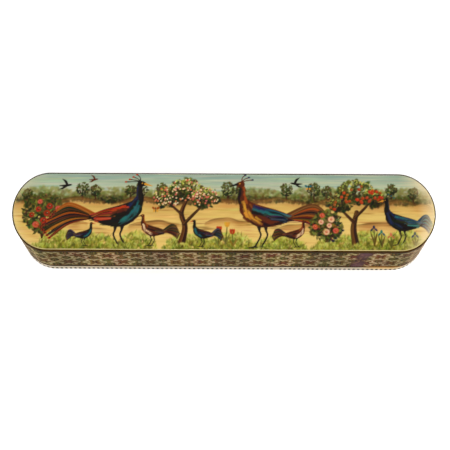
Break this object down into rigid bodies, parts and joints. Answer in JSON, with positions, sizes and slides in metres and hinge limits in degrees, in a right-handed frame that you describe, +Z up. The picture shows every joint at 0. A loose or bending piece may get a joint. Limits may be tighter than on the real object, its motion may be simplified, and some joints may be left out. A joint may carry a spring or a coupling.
{
  "type": "pen box",
  "caption": "Long narrow pen box with rounded ends, star marquetry sides, a dotted border round its foot, a velvet lining and a flat hinged lid with a painted panel.",
  "frame": {"origin": "centre of the underside, where the box rests", "axes": "+X along the box's length, to the right seen from the front; -Y is the front; +Z is up"},
  "size_m": [0.23, 0.0446, 0.0376],
  "materials": {
    "carcass_wood": "oiled walnut, satin",
    "star_marquetry": "varnished mosaic of wood, bone and brass rods",
    "dotted_strip": "varnished strip of dark wood and bone blocks",
    "bone": "polished bone under varnish",
    "dark_wood": "ebonised wood under varnish",
    "painted_bone": "painted bone sheet under gloss varnish",
    "velvet": "short velvet pile on card",
    "hinge_brass": "aged brass, satin"
  },
  "bodies": {
    "case": {"base_board": "carcass_wood", "front_wall": "carcass_wood", "back_wall": "carcass_wood", "left_end_block": "carcass_wood", "right_end_block": "carcass_wood", "dotted_border": "dotted_strip", "bone_line": "bone", "lower_dark_line": "dark_wood", "front_marquetry": "star_marquetry", "back_marquetry": "star_marquetry", "left_end_marquetry": "star_marquetry", "right_end_marquetry": "star_marquetry", "wall_lining": "velvet", "floor_lining": "velvet", "left_hinge_case_leaf": "hinge_brass", "left_hinge_pin": "hinge_brass", "left_hinge_case_nail_1": "hinge_brass", "left_hinge_case_nail_2": "hinge_brass", "right_hinge_case_leaf": "hinge_brass", "right_hinge_pin": "hinge_brass", "right_hinge_case_nail_1": "hinge_brass", "right_hinge_case_nail_2": "hinge_brass"},
    "lid": {"lid_board": "carcass_wood", "lid_edging": "dark_wood", "painted_panel": "painted_bone", "lid_lining": "velvet", "left_hinge_lid_leaf": "hinge_brass", "left_hinge_lid_nail_1": "hinge_brass", "left_hinge_lid_nail_2": "hinge_brass", "right_hinge_lid_leaf": "hinge_brass", "right_hinge_lid_nail_1": "hinge_brass", "right_hinge_lid_nail_2": "hinge_brass"}
  },
  "joints": [
    {"name": "lid_hinge", "type": "hinge", "parent": "case", "child": "lid", "pos_m": [0, 0.02065, 0.0341], "axis": [-1, 0, 0], "range_deg": [0, 100]}
  ]
}
